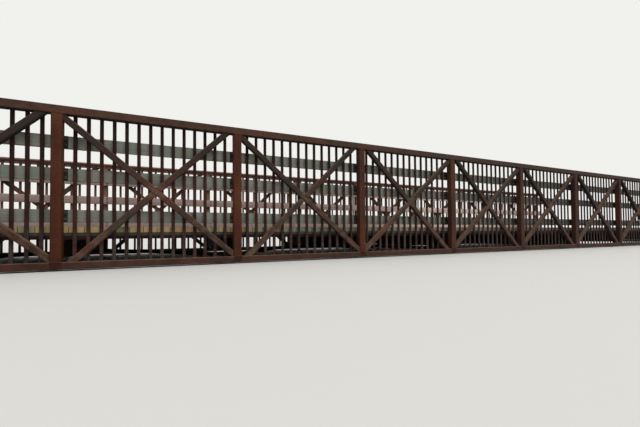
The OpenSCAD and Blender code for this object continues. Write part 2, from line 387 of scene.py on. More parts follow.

    # dust lies on the upper faces
    dust_mask = add(tree, "ShaderNodeMapRange", inputs={
        0: facing.outputs[2], 1: 0.35, 2: 0.85, 4: 0.8,
    })
    dust_mask = add(tree, "ShaderNodeMath", {"operation": "MULTIPLY"}, {
        0: dust_mask.outputs[0], 1: patches.outputs[0],
    })
    dust_mask = add(tree, "ShaderNodeMath", {
        "operation": "MULTIPLY", "use_clamp": True,
    }, {0: dust_mask.outputs[0], 1: 1.8})
    colour = add(tree, "ShaderNodeMix", {"data_type": "RGBA"}, {
        0: dust_mask.outputs[0], 6: colour.outputs[2], 7: srgb(dust),
    })
    # painted shade: the faces that look down are darkened towards near black
    under = add(tree, "ShaderNodeMapRange", inputs={
        0: facing.outputs[2], 1: -0.5, 2: -0.9, 4: 0.75,
    })
    colour = add(tree, "ShaderNodeMix", {"data_type": "RGBA"}, {
        0: under.outputs[0], 6: colour.outputs[2], 7: srgb("#1E1512"),
    })

    # mottling also lightens and darkens the skin a little
    shade = add(tree, "ShaderNodeMapRange", inputs={
        0: mottle.outputs[0], 1: 0.3, 2: 0.7, 3: 0.84, 4: 1.14,
    })
    colour = add(tree, "ShaderNodeVectorMath", {"operation": "SCALE"}, {
        0: colour.outputs[2], "Scale": shade.outputs[0],
    })

    # oxide grains of about 1 mm
    grains = add(tree, "ShaderNodeTexNoise", inputs={
        "Vector": place, "Scale": 700.0, "Detail": 2.0,
    })
    relief = add(tree, "ShaderNodeMath", {"operation": "ADD"}, {
        0: grains.outputs[0], 1: mottle.outputs[0],
    })
    bump = add(tree, "ShaderNodeBump", inputs={
        "Strength": 0.35, "Distance": 0.0012, "Height": relief.outputs[0],
    })
    roughness = add(tree, "ShaderNodeMapRange", inputs={
        0: patches.outputs[0], 1: 0.3, 2: 0.7, 3: 0.72, 4: 0.92,
    })
    # the grains scatter light, so the skin hardly shines
    shader = add(tree, "ShaderNodeBsdfPrincipled", inputs={
        "Base Color": colour.outputs[0], "Roughness": roughness.outputs[0],
        "Normal": bump.outputs[0], "Specular IOR Level": 0.12,
    })
    add(tree, "ShaderNodeOutputMaterial", inputs={0: shader.outputs[0]})
    return material


def dress(node_name, material):
    """Gives a CAD node its material."""
    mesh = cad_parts[node_name].data
    mesh.materials.clear()
    mesh.materials.append(material)


# The top chord keeps a brown, even skin. The bottom chord is stained below
# every post. Posts are the reddest, and the diagonals are dark at the top
# and dusty low down and at their crossings.
chord_steel = weathering_steel(
    "weathering_steel_top_chord", deep="#3A2A22", body="#4A372C",
    bloom="#54352A", streak="#42302A", dust="#6E5C4C", sunlit="#A57C69",
    painted_shade=0.4,
)
low_chord_steel = weathering_steel(
    "weathering_steel_bottom_chord", deep="#37251E", body="#463329",
    bloom="#50342A", streak="#3C2A22", dust="#7C6858", sunlit="#6E5044",
    post_stain=True, painted_shade=0.15, damp=0.25,
)
post_steel = weathering_steel(
    "weathering_steel_posts", deep="#3B2018", body="#46261B",
    bloom="#5E3623", streak="#54301A", dust="#6E5C4C", sunlit="#8E7054",
    dark_height=(1.05, 1.6, 0.1), streaks=0.8, painted_shade=0.4, damp=0.4,
)
diagonal_steel = weathering_steel(
    "weathering_steel_diagonals", deep="#2E2722", body="#44322A",
    bloom="#56332A", streak="#3C2C26", dust="#7A6452", sunlit="#87674F",
    dark_height=(0.85, 1.5, 0.8), splash=(0.9, 0.1, 0.35), crossing=True,
    painted_shade=0.4, damp=0.5,
)
for truss in TRUSSES:
    dress(truss + "_top_chord", chord_steel)
    dress(truss + "_bottom_chord", low_chord_steel)
    dress(truss + "_posts", post_steel)
    dress(truss + "_rising_diagonals", diagonal_steel)
    dress(truss + "_falling_diagonals", diagonal_steel)


# Weld beads
# Where posts, diagonals and floor beams meet other steel, a fillet weld runs
# round the joint. The beads are a rippled round bar half sunk in the corner,
# drawn along the outline of each joint.
BEAD_RADIUS = 0.0042
BEAD_THINNEST = 0.85
BEAD_RIPPLE = 0.35
RIPPLES_PER_METRE = 70.0
BEAD_STEP = 0.012
BAYS = 10
OUTER = 1.670
CHORD_DEPTH = 0.102
POST_WIDTH = 0.102
DIAGONAL = 0.070
DIAGONAL_INSET = 0.016
BEAM_FOOT = 0.133
BEAM_DEPTH = 0.203
BEAM_WIDTH = 0.102
BEAM_FLANGE = 0.009
BEAM_WEB = 0.007

# where they meet the chords, how far the middle lines of the main diagonals
# are inside the posts, and how far those of the counters are clear of them
MAIN_OVERLAP = 0.030
COUNTER_INSET = 0.088

post_height = POST_HEAD - POST_FOOT
clear_length = BAY - POST_WIDTH
main_slope = math.atan2(post_height, clear_length + 2 * MAIN_OVERLAP)
counter_slope = math.atan2(post_height, clear_length - 2 * COUNTER_INSET)


def new_tree(name, sockets):
    """An empty Geometry Nodes tree with a geometry input and named inputs."""
    tree = bpy.data.node_groups.new(name, "GeometryNodeTree")
    ports = tree.interface
    ports.new_socket(
        "Geometry", in_out="INPUT", socket_type="NodeSocketGeometry"
    )
    for label, kind in sockets:
        ports.new_socket(label, in_out="INPUT", socket_type=kind)
    ports.new_socket(
        "Geometry", in_out="OUTPUT", socket_type="NodeSocketGeometry"
    )
    return tree, tree.nodes.new("NodeGroupInput").outputs


def close_tree(tree, geometry, material):
    """Ends a tree in realized geometry with its material."""
    real = add(tree, "GeometryNodeRealizeInstances", inputs={0: geometry})
    painted = add(tree, "GeometryNodeSetMaterial", inputs={
        0: real.outputs[0], "Material": material,
    })
    add(tree, "NodeGroupOutput", inputs={0: painted.outputs[0]})


def grown_mesh(name, points, edges, tree, values):
    """The plain mesh that a tree makes on points and edges."""
    seed = bpy.data.meshes.new(name + "_seed")
    seed.from_pydata(points, edges, [])
    carrier = new_object(name + "_seed", seed)
    modifier = carrier.modifiers.new("grow", "NODES")
    modifier.node_group = tree
    sockets = {
        item.name: item.identifier for item in tree.interface.items_tree
        if item.in_out == "INPUT"
    }
    for label, value in values.items():
        modifier[sockets[label]] = value
    view = bpy.context.evaluated_depsgraph_get()
    mesh = bpy.data.meshes.new_from_object(carrier.evaluated_get(view))
    mesh.name = name
    bpy.data.objects.remove(carrier)
    bpy.data.meshes.remove(seed)
    return mesh


def add_loop(points, edges, corners):
    """Adds a closed outline to a list of points and edges."""
    first = len(points)
    points.extend(corners)
    count = len(corners)
    edges.extend((first + i, first + (i + 1) % count) for i in range(count))


# the bead's own rust is darker and more even than the skin beside it
bead_steel = weathering_steel(
    "weld_bead_steel", deep="#2A1E19", body="#3E2B23", bloom="#4E3328",
    streak="#33241E", dust="#6E5B4B", sunlit="#553A2E", painted_shade=0.4,
)
tree, given = new_tree("weld_bead", [
    ("Bead radius", "NodeSocketFloat"), ("Thinnest", "NodeSocketFloat"),
    ("Ripple", "NodeSocketFloat"), ("Ripples per metre", "NodeSocketFloat"),
    ("Step", "NodeSocketFloat"),
])
path = add(tree, "GeometryNodeMeshToCurve", inputs={0: given["Geometry"]})
path = add(tree, "GeometryNodeResampleCurve", {"mode": "LENGTH"}, {
    0: path.outputs[0], "Length": given["Step"],
})
ripple = add(tree, "ShaderNodeTexNoise", inputs={
    "Scale": given["Ripples per metre"],
})
ripple = add(tree, "ShaderNodeMath", {"operation": "MULTIPLY_ADD"}, {
    0: ripple.outputs[0], 1: given["Ripple"], 2: given["Thinnest"],
})
section = add(tree, "GeometryNodeCurvePrimitiveCircle", inputs={
    "Resolution": 6, "Radius": given["Bead radius"],
})
bead = add(tree, "GeometryNodeCurveToMesh", inputs={
    0: path.outputs[0], 1: section.outputs[0], "Scale": ripple.outputs[0],
})
close_tree(tree, bead.outputs[0], bead_steel)
bead_tree = tree


def crossing_corner(main_side, counter_side):
    """Where an edge of the main diagonal meets one of the counter, measured
    from the middle of the bay."""
    off_main = main_side * DIAGONAL / 2
    off_counter = counter_side * DIAGONAL / 2
    spread = math.sin(main_slope + counter_slope)
    along = (
        off_counter * math.cos(main_slope) - off_main * math.cos(counter_slope)
    )
    up = (
        off_counter * math.sin(main_slope) + off_main * math.sin(counter_slope)
    )
    return along / spread, up / spread


post_weld = (
    MAIN_OVERLAP * math.tan(main_slope) + DIAGONAL / 2 / math.cos(main_slope)
)
chord_weld = DIAGONAL / 2 / math.sin(main_slope) - MAIN_OVERLAP
half_foot = DIAGONAL / 2 / math.sin(counter_slope)
half_post = POST_WIDTH / 2
half_web = BEAM_WEB / 2
half_beam = BEAM_WIDTH / 2
beam_head = BEAM_FOOT + BEAM_DEPTH
beam_outline = [
    (-half_beam, BEAM_FOOT), (half_beam, BEAM_FOOT),
    (half_beam, BEAM_FOOT + BEAM_FLANGE), (half_web, BEAM_FOOT + BEAM_FLANGE),
    (half_web, beam_head - BEAM_FLANGE), (half_beam, beam_head - BEAM_FLANGE),
    (half_beam, beam_head), (-half_beam, beam_head),
    (-half_beam, beam_head - BEAM_FLANGE),
    (-half_web, beam_head - BEAM_FLANGE),
    (-half_web, BEAM_FOOT + BEAM_FLANGE),
    (-half_beam, BEAM_FOOT + BEAM_FLANGE),
]
points, edges = [], []
for side in TRUSSES.values():
    face = side * OUTER
    inner = side * (OUTER - CHORD_DEPTH)
    near = side * (OUTER - DIAGONAL_INSET)
    far = side * (OUTER - DIAGONAL_INSET - DIAGONAL)
    for i in range(BAYS + 1):
        x = (i - BAYS / 2) * BAY
        for z in (POST_FOOT, POST_HEAD):
            add_loop(points, edges, [
                (x - half_post, face, z), (x + half_post, face, z),
                (x + half_post, inner, z), (x - half_post, inner, z),
            ])
        add_loop(points, edges, [(x + dx, inner, z) for dx, z in beam_outline])
    for i in range(BAYS):
        # in the left half the main diagonals fall, in the right half they rise
        hand = -1 if i < BAYS / 2 else 1
        middle = (i + 0.5 - BAYS / 2) * BAY
        for end in (-1, 1):
            x = middle + end * hand * clear_length / 2
            z = MID_HEIGHT + end * post_height / 2
            x_end = x - end * hand * chord_weld
            z_end = z - end * post_weld
            add_loop(points, edges, [
                (x, near, z), (x, far, z), (x, far, z_end), (x, near, z_end),
            ])
            add_loop(points, edges, [
                (x, near, z), (x, far, z), (x_end, far, z), (x_end, near, z),
            ])
            x = middle - end * hand * (clear_length / 2 - COUNTER_INSET)
            add_loop(points, edges, [
                (x - half_foot, near, z), (x + half_foot, near, z),
                (x + half_foot, far, z), (x - half_foot, far, z),
            ])
            ends = [
                (middle + hand * dx, MID_HEIGHT + dz) for dx, dz in (
                    crossing_corner(end, -1), crossing_corner(end, 1),
                )
            ]
            add_loop(points, edges, [
                (ends[0][0], near, ends[0][1]), (ends[0][0], far, ends[0][1]),
                (ends[1][0], far, ends[1][1]), (ends[1][0], near, ends[1][1]),
            ])
welds = new_object("truss_weld_beads", grown_mesh(
    "truss_weld_beads", points, edges, bead_tree, {
        "Bead radius": BEAD_RADIUS, "Thinnest": BEAD_THINNEST,
        "Ripple": BEAD_RIPPLE, "Ripples per metre": RIPPLES_PER_METRE,
        "Step": BEAD_STEP,
    },
))
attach(welds, "root")


# Chord end caps
# Each end of a chord tube is closed by a thin welded plate, which keeps
# rain out of the tube.
CAP_THICKNESS = 0.005
CAP_INSET = 0.004
CAP_EDGE = 0.0015
CHORD_FOOT = 0.019
CHORD_TOP = 1.772
HALF_LENGTH = 9.576

points, faces = [], []
for side in TRUSSES.values():
    outer = side * (OUTER - CAP_INSET)
    inner = side * (OUTER - CHORD_DEPTH + CAP_INSET)
    for low, high in ((CHORD_FOOT, POST_FOOT), (POST_HEAD, CHORD_TOP)):
        for end in (-1, 1):
            first = len(points)
            for x in (HALF_LENGTH, HALF_LENGTH + CAP_THICKNESS):
                for y in (outer, inner):
                    for z in (low + CAP_INSET, high - CAP_INSET):
                        points.append((end * x, y, z))
            faces.extend(
                tuple(first + k for k in face) for face in (
                    (0, 1, 3, 2), (4, 6, 7, 5), (0, 4, 5, 1),
                    (2, 3, 7, 6), (0, 2, 6, 4), (1, 5, 7, 3),
                )
            )
mesh = bpy.data.meshes.new("chord_end_caps")
mesh.from_pydata(points, [], faces)
mesh.materials.append(chord_steel)
shell = bmesh.new()
shell.from_mesh(mesh)
bmesh.ops.recalc_face_normals(shell, faces=shell.faces)
shell.to_mesh(mesh)
shell.free()
caps = new_object("chord_end_caps", mesh)
soften = caps.modifiers.new("soft_edges", "BEVEL")
soften.width = CAP_EDGE
soften.segments = 2
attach(caps, "root")


# Bearing plates
# A thick flat plate under each chord end spreads the load on the abutment
# and holds the two anchor bolts, whose holes stay open.
dress("bearing_plates", low_chord_steel)


# Picket panels
# One panel a bay stands on the inner face of each truss: fourteen slim flat
# tubes of weathering steel, welded to a lower and an upper rail of the same.
PICKET = 0.038
PICKET_DEPTH = 0.019
PICKET_CORNER = 0.004
PICKET_COUNT = 14
PICKET_END = 0.146
PANEL_FOOT = 0.038
PANEL_HEAD = 1.7465
PANEL_GAP = 0.010
PICKET_BEAD = 0.0025
WANDERS_PER_METRE = 2.6


def joined(name, meshes):
    """One object from several meshes."""
    things = [new_object(name, mesh) for mesh in meshes]
    bpy.ops.object.select_all(action="DESELECT")
    for thing in things:
        thing.select_set(True)
    bpy.context.view_layer.objects.active = things[0]
    bpy.ops.object.join()
    whole = bpy.context.view_layer.objects.active
    whole.name = name
    whole.data.name = name
    return whole


# thin tube rusts evenly and dark, carries grey dust low down, and has painted
# shade on its upper part
picket_steel = weathering_steel(
    "weathering_steel_pickets", deep="#221713", body="#38221D",
    bloom="#46281F", streak="#3E2A20", dust="#504A48", sunlit="#886650",
    dark_height=(0.85, 1.4, 0.8), splash=(0.5, 0.2, 0.6), painted_shade=0.3,
)

tree, given = new_tree("picket_row", [
    ("Width", "NodeSocketFloat"), ("Depth", "NodeSocketFloat"),
    ("Corner radius", "NodeSocketFloat"), ("Height", "NodeSocketFloat"),
    ("Bead radius", "NodeSocketFloat"),
])
outline = add(tree, "GeometryNodeCurvePrimitiveQuadrilateral", inputs={
    "Width": given["Width"], "Height": given["Depth"],
})
outline = add(tree, "GeometryNodeFilletCurve", {"mode": "POLY"}, {
    0: outline.outputs[0], "Count": 2, "Radius": given["Corner radius"],
})
top = add(tree, "ShaderNodeCombineXYZ", inputs={2: given["Height"]})
line = add(tree, "GeometryNodeCurvePrimitiveLine", inputs={
    "End": top.outputs[0],
})
tube = add(tree, "GeometryNodeCurveToMesh", inputs={
    0: line.outputs[0], 1: outline.outputs[0], "Fill Caps": True,
})
ring_section = add(tree, "GeometryNodeCurvePrimitiveCircle", inputs={
    "Resolution": 4, "Radius": given["Bead radius"],
})
ring = add(tree, "GeometryNodeCurveToMesh", inputs={
    0: outline.outputs[0], 1: ring_section.outputs[0],
})
upper_ring = add(tree, "GeometryNodeTransform", inputs={
    0: ring.outputs[0], "Translation": top.outputs[0],
})
picket = add(tree, "GeometryNodeJoinGeometry")
for part in (upper_ring, ring, tube):
    tree.links.new(part.outputs[0], picket.inputs[0])
row = add(tree, "GeometryNodeInstanceOnPoints", inputs={
    0: given["Geometry"], "Instance": picket.outputs[0],
})
close_tree(tree, row.outputs[0], picket_steel)
picket_tree = tree

# a straight tube or board, which may wander a little as sawn timber does
tree, given = new_tree("straight_bar", [
    ("Width", "NodeSocketFloat"), ("Height", "NodeSocketFloat"),
    ("Edge radius", "NodeSocketFloat"), ("Step", "NodeSocketFloat"),
    ("Wander", "NodeSocketFloat"), ("Wanders per metre", "NodeSocketFloat"),
    ("Material", "NodeSocketMaterial"),
])
path = add(tree, "GeometryNodeMeshToCurve", inputs={0: given["Geometry"]})
path = add(tree, "GeometryNodeSetCurveNormal", {"mode": "Z_UP"}, {
    0: path.outputs[0],
})
path = add(tree, "GeometryNodeResampleCurve", {"mode": "LENGTH"}, {
    0: path.outputs[0], "Length": given["Step"],
})
outline = add(tree, "GeometryNodeCurvePrimitiveQuadrilateral", inputs={
    "Width": given["Width"], "Height": given["Height"],
})
outline = add(tree, "GeometryNodeFilletCurve", {"mode": "POLY"}, {
    0: outline.outputs[0], "Count": 2, "Radius": given["Edge radius"],
})
bar = add(tree, "GeometryNodeCurveToMesh", inputs={
    0: path.outputs[0], 1: outline.outputs[0], "Fill Caps": True,
})
drift = add(tree, "ShaderNodeTexNoise", inputs={
    "Scale": given["Wanders per metre"], "Detail": 1.0,
})
drift = add(tree, "ShaderNodeVectorMath", {"operation": "SUBTRACT"}, {
    0: drift.outputs[1], 1: (0.5, 0.5, 0.5),
})
drift = add(tree, "ShaderNodeVectorMath", {"operation": "SCALE"}, {
    0: drift.outputs[0], "Scale": given["Wander"],
})
bar = add(tree, "GeometryNodeSetPosition", inputs={
    0: bar.outputs[0], "Offset": drift.outputs[0],
})
close_tree(tree, bar.outputs[0], given["Material"])
bar_tree = tree

pitch = (BAY - 2 * PICKET_END) / (PICKET_COUNT - 1)
for truss, side in TRUSSES.items():
    y = side * (OUTER - CHORD_DEPTH - PICKET_DEPTH / 2)
    feet, rails, rail_edges = [], [], []
    for i in range(BAYS):
        start = (i - BAYS / 2) * BAY
        end = start + BAY
        feet.extend(
            (start + PICKET_END + k * pitch, y, PANEL_FOOT + PICKET)
            for k in range(PICKET_COUNT)
        )
        left = -HALF_LENGTH if i == 0 else start + PANEL_GAP / 2
        stop = HALF_LENGTH if i == BAYS - 1 else end - PANEL_GAP / 2
        for z in (PANEL_FOOT + PICKET / 2, PANEL_HEAD - PICKET / 2):
            rails.extend([(left, y, z), (stop, y, z)])
            rail_edges.append((len(rails) - 2, len(rails) - 1))
    panels = joined(truss + "_picket_panels", [
        grown_mesh("pickets", feet, [], picket_tree, {
            "Width": PICKET, "Depth": PICKET_DEPTH,
            "Corner radius": PICKET_CORNER, "Bead radius": PICKET_BEAD,
            "Height": PANEL_HEAD - PANEL_FOOT - 2 * PICKET,
        }),
        grown_mesh("panel_rails", rails, rail_edges, bar_tree, {
            "Width": PICKET_DEPTH, "Height": PICKET,
            "Edge radius": PICKET_CORNER, "Step": BAY, "Wander": 0.0,
            "Wanders per metre": WANDERS_PER_METRE,
            "Material": picket_steel,
        }),
    ])
    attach(panels, "root")
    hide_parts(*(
        f"{truss}_pickets_{i}" for i in range(1, BAYS + 1)
    ))


# Rail cleats
# A block on the inner face of each post carries a plate for every rail
# board. Both are of the trusses' steel, but darker, because they sit in the
# boards' shade and damp.

# neutral dark rust with hardly any red left in it
cleat_steel = weathering_steel(
    "weathering_steel_cleats", deep="#20211B", body="#2F3029",
    bloom="#332D25", streak="#2E2B24", dust="#54493D", sunlit="#4A3329",
)
for truss in TRUSSES:
    dress(truss + "_cleat_blocks", cleat_steel)
    dress(truss + "_cleat_plates", cleat_steel)


# Rail boards
# Three pine boards a side, nominal two by six inches, sawn and set on edge,
# run two bays each. Rain and sun have greyed them, algae has greened the
# faces that look away from the walkway, and the bolts have bled rust.
BOARD_THICKNESS = 0.038
BOARD_HEIGHT = 0.140
BOARD_FACE = 1.524
BOARD_EASE = 0.003
BOARD_GAP = 0.004
BOARD_BAYS = 2
BOARD_COUNT = BAYS // BOARD_BAYS
BOARD_STEP = 0.15
BOARD_WANDER = 0.004
DECK_TOP = 0.476
BOLT_OFFSET = 0.052

# how far each board's lower edge is above the deck
BOARD_LEVELS = {
    "kick_board": 0.048, "middle_rail": 0.506, "upper_rail": 0.864,
}

# where along the bridge a painted patch of sunlight lightens the boards, where
# that ends, and how far rust has bled to either side of the bolts
SUN_PATCH_START = (1.6, 4.2)
SUN_PATCH_END = (7.0, 8.6)
BLEED_EDGE = (0.024, 0.012)


def grain(tree, place, band_stretch, line_stretch, distortion):
    """Bands about 14 mm and lines about 3 mm apart, long in the grain."""
    stretched = add(tree, "ShaderNodeVectorMath", {"operation": "MULTIPLY"}, {
        0: place, 1: band_stretch,
    })
    bands = add(tree, "ShaderNodeTexNoise", inputs={
        "Vector": stretched.outputs[0], "Scale": 1.0, "Detail": 4.0,
        "Distortion": distortion,
    })
    stretched = add(tree, "ShaderNodeVectorMath", {"operation": "MULTIPLY"}, {
        0: place, 1: line_stretch,
    })
    lines = add(tree, "ShaderNodeTexNoise", inputs={
        "Vector": stretched.outputs[0], "Scale": 1.0, "Detail": 3.0,
    })
    return bands, lines


def finish_timber(tree, colour, lines, sound, cracked, roughness):
    """Opens dark drying cracks along the grain and ends the material."""
    cracks = add(tree, "ShaderNodeMapRange", inputs={
        0: lines.outputs[0], 1: 0.36, 2: 0.28,
    })
    shade = add(tree, "ShaderNodeMapRange", inputs={
        0: cracks.outputs[0], 3: sound, 4: cracked,
    })
    colour = add(tree, "ShaderNodeVectorMath", {"operation": "SCALE"}, {
        0: colour.outputs[2], "Scale": shade.outputs[0],
    })
    relief = add(tree, "ShaderNodeMath", {"operation": "SUBTRACT"}, {
        0: lines.outputs[0], 1: cracks.outputs[0],
    })
    bump = add(tree, "ShaderNodeBump", inputs={
        "Strength": 0.5, "Distance": 0.0015, "Height": relief.outputs[0],
    })
    shader = add(tree, "ShaderNodeBsdfPrincipled", inputs={
        "Base Color": colour.outputs[0], "Roughness": roughness,
        "Normal": bump.outputs[0], "Specular IOR Level": 0.12,
    })
    add(tree, "ShaderNodeOutputMaterial", inputs={0: shader.outputs[0]})


def weathered_timber(
        name, lit_side_tone, shade_side_tone, dark, algae, algae_share, painted_sun_patch=None,
        bolt_bleed=False,
):
    """Sawn softwood left outdoors: silvered, with raised dark grain lines
    that follow the board, fine drying cracks and green algae."""
    material, tree = new_material(name)
    place, spot, facing = surface_points(tree)
    bands, lines = grain(
        tree, place, band_stretch=(1.3, 70.0, 70.0),
        line_stretch=(4.0, 330.0, 330.0), distortion=0.6,
    )
    blotches = add(tree, "ShaderNodeTexNoise", inputs={
        "Vector": place, "Scale": 3.2, "Detail": 4.0, "Roughness": 0.6,
    })

    # painted light: the faces towards the walkway are lighter and pinker, as
    # if sunlit, and the others darker, as in shade
    inward = walkway_mask(
        tree, spot, facing, start=0.4, full=-0.4, share=1.0
    )
    lit_tone = srgb(lit_side_tone)
    if painted_sun_patch:
        # painted sunlight: along part of the bridge the walkway faces are
        # lighter and pinker
        sunny = add(tree, "ShaderNodeMapRange", inputs={
            0: spot.outputs[0], 1: SUN_PATCH_START[0], 2: SUN_PATCH_START[1],
        })
        shaded = add(tree, "ShaderNodeMapRange", inputs={
            0: spot.outputs[0], 1: SUN_PATCH_END[0], 2: SUN_PATCH_END[1],
        })
        sunny = add(tree, "ShaderNodeMath", {"operation": "SUBTRACT"}, {
            0: sunny.outputs[0], 1: shaded.outputs[0],
        })
        lit_tone = add(tree, "ShaderNodeMix", {"data_type": "RGBA"}, {
            0: sunny.outputs[0], 6: srgb(lit_side_tone), 7: srgb(painted_sun_patch),
        }).outputs[2]
    colour = add(tree, "ShaderNodeMix", {"data_type": "RGBA"}, {
        0: inward.outputs[0], 6: srgb(shade_side_tone), 7: lit_tone,
    })
    band_mask = add(tree, "ShaderNodeMapRange", inputs={
        0: bands.outputs[0], 1: 0.40, 2: 0.68, 4: 0.55,
    })
    colour = add(tree, "ShaderNodeMix", {"data_type": "RGBA"}, {
        0: band_mask.outputs[0], 6: colour.outputs[2], 7: srgb(dark),
    })

    # algae grows in blotches, mostly on the faces away from the walkway
    green = add(tree, "ShaderNodeMapRange", inputs={
        0: blotches.outputs[0], 1: 0.42, 2: 0.66, 4: algae_share,
    })
    outward = add(tree, "ShaderNodeMath", {"operation": "SUBTRACT"}, {
        0: 1.15, 1: inward.outputs[0],
    })
    green = add(tree, "ShaderNodeMath", {
        "operation": "MULTIPLY", "use_clamp": True,
    }, {0: green.outputs[0], 1: outward.outputs[0]})
    colour = add(tree, "ShaderNodeMix", {"data_type": "RGBA"}, {
        0: green.outputs[0], 6: colour.outputs[2], 7: srgb(algae),
    })

    if bolt_bleed:
        # rust has run from the bolts into the grain on each side
        beside = beside_post(tree, spot)
        beside = add(tree, "ShaderNodeMath", {"operation": "SUBTRACT"}, {
            0: beside.outputs[0], 1: BOLT_OFFSET,
        })
        beside = add(tree, "ShaderNodeMath", {"operation": "ABSOLUTE"}, {
            0: beside.outputs[0],
        })
        ragged = add(tree, "ShaderNodeMath", {"operation": "MULTIPLY_ADD"}, {
            0: lines.outputs[0], 1: 0.022, 2: beside.outputs[0],
        })
        bleed = add(tree, "ShaderNodeMapRange", inputs={
            0: ragged.outputs[0], 1: BLEED_EDGE[0], 2: BLEED_EDGE[1],
            4: 0.55,
        })
        colour = add(tree, "ShaderNodeMix", {"data_type": "RGBA"}, {
            0: bleed.outputs[0], 6: colour.outputs[2], 7: srgb("#4F3A2E"),
        })
    finish_timber(
        tree, colour, lines, sound=1.06, cracked=0.62, roughness=0.88
    )
    return material


rail_timber = weathered_timber(
    "weathered_pine_rails", lit_side_tone="#A28B84", shade_side_tone="#82827A",
    dark="#66625C", algae="#70796B", algae_share=0.6, painted_sun_patch="#E2C8BC",
    bolt_bleed=True,
)
for truss, side in TRUSSES.items():
    for name, rise in BOARD_LEVELS.items():
        y = side * (BOARD_FACE - BOARD_THICKNESS / 2)
        z = DECK_TOP + rise + BOARD_HEIGHT / 2
        points, edges = [], []
        for b in range(BOARD_COUNT):
            left = (b * BOARD_BAYS - BAYS / 2) * BAY + BOARD_GAP / 2
            stop = left + BOARD_BAYS * BAY - BOARD_GAP
            points.extend([
                (left if b else -HALF_LENGTH, y, z),
                (stop if b < BOARD_COUNT - 1 else HALF_LENGTH, y, z),
            ])
            edges.append((2 * b, 2 * b + 1))
        board = new_object(f"{truss}_{name}_boards", grown_mesh(
            f"{truss}_{name}_boards", points, edges, bar_tree, {
                "Width": BOARD_THICKNESS, "Height": BOARD_HEIGHT,
                "Edge radius": BOARD_EASE, "Step": BOARD_STEP,
                "Wander": BOARD_WANDER,
                "Wanders per metre": WANDERS_PER_METRE,
                "Material": rail_timber,
            },
        ))
        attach(board, "root")
        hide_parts(f"{truss}_{name}")


# Rail bolts
# Four bolts go through each cleat plate and the board behind it, with a
# washer and a hexagon nut on the plate and a flat dome on the walkway side.
NUT_RADIUS = 0.0135
NUT_HEIGHT = 0.012
WASHER_RADIUS = 0.019
WASHER_THICKNESS = 0.003
SHANK_RADIUS = NUT_RADIUS / 2
SHANK_TIP = 0.00495
BOLT_RISE = 0.036
END_MARGIN = 0.02
PLATE_FACE = 1.530
DOME_RADIUS = 0.015
DOME_HEIGHT = 0.006

# dull bolt steel, paler than the plates that it stands on
bolt_steel = weathering_steel(
    "weathered_bolt_steel", deep="#2E2C29", body="#53514B", bloom="#54463C",
    streak="#433C35", dust="#6E675E", sunlit="#5E4E44",
)
tree, given = new_tree("nut_and_washer", [
    ("Nut radius", "NodeSocketFloat"), ("Nut height", "NodeSocketFloat"),
    ("Washer radius", "NodeSocketFloat"),
    ("Washer thickness", "NodeSocketFloat"),
    ("Shank radius", "NodeSocketFloat"), ("Shank rise", "NodeSocketFloat"),
    ("Facing", "NodeSocketVector"),
])
nut_rise = add(tree, "ShaderNodeMath", {"operation": "MULTIPLY_ADD"}, {
    0: given["Nut height"], 1: 0.5, 2: given["Washer thickness"],
})
nut_rise = add(tree, "ShaderNodeCombineXYZ", inputs={2: nut_rise.outputs[0]})
nut = add(tree, "GeometryNodeMeshCylinder", inputs={
    "Vertices": 6, "Radius": given["Nut radius"],
    "Depth": given["Nut height"],
})
nut = add(tree, "GeometryNodeTransform", inputs={
    0: nut.outputs[0], "Translation": nut_rise.outputs[0],
})
half_washer = add(tree, "ShaderNodeMath", {"operation": "MULTIPLY"}, {
    0: given["Washer thickness"], 1: 0.5,
})
half_washer = add(tree, "ShaderNodeCombineXYZ", inputs={
    2: half_washer.outputs[0],
})
washer = add(tree, "GeometryNodeMeshCylinder", inputs={
    "Vertices": 16, "Radius": given["Washer radius"],
    "Depth": given["Washer thickness"],
})
washer = add(tree, "GeometryNodeTransform", inputs={
    0: washer.outputs[0], "Translation": half_washer.outputs[0],
})
shank_middle = add(tree, "ShaderNodeCombineXYZ", inputs={
    2: given["Shank rise"],
})
shank = add(tree, "GeometryNodeMeshCylinder", inputs={
    "Vertices": 10, "Radius": given["Shank radius"],
    "Depth": given["Nut height"],
})
shank = add(tree, "GeometryNodeTransform", inputs={
    0: shank.outputs[0], "Translation": shank_middle.outputs[0],
})
bolt = add(tree, "GeometryNodeJoinGeometry")
for part in (shank, nut, washer):
    tree.links.new(part.outputs[0], bolt.inputs[0])
placed = add(tree, "GeometryNodeInstanceOnPoints", inputs={
    0: given["Geometry"], "Instance": bolt.outputs[0],
    "Rotation": given["Facing"],
})
close_tree(tree, placed.outputs[0], bolt_steel)
nut_tree = tree

tree, given = new_tree("domed_head", [
    ("Radius", "NodeSocketFloat"), ("Height", "NodeSocketFloat"),
    ("Facing", "NodeSocketVector"),
])
dome = add(tree, "GeometryNodeMeshUVSphere", inputs={
    "Segments": 10, "Rings": 5, "Radius": 1.0,
})
flatten = add(tree, "ShaderNodeCombineXYZ", inputs={
    0: given["Radius"], 1: given["Radius"], 2: given["Height"],
})
dome = add(tree, "GeometryNodeTransform", inputs={
    0: dome.outputs[0], "Scale": flatten.outputs[0],
})
dome = add(tree, "GeometryNodeSetShadeSmooth", inputs={0: dome.outputs[0]})
placed = add(tree, "GeometryNodeInstanceOnPoints", inputs={
    0: given["Geometry"], "Instance": dome.outputs[0],
    "Rotation": given["Facing"],
})
close_tree(tree, placed.outputs[0], bolt_steel)
dome_tree = tree

# the end of a shank, as long as its nut is high, stands past it by the tip
shank_rise = WASHER_THICKNESS + NUT_HEIGHT / 2 + SHANK_TIP
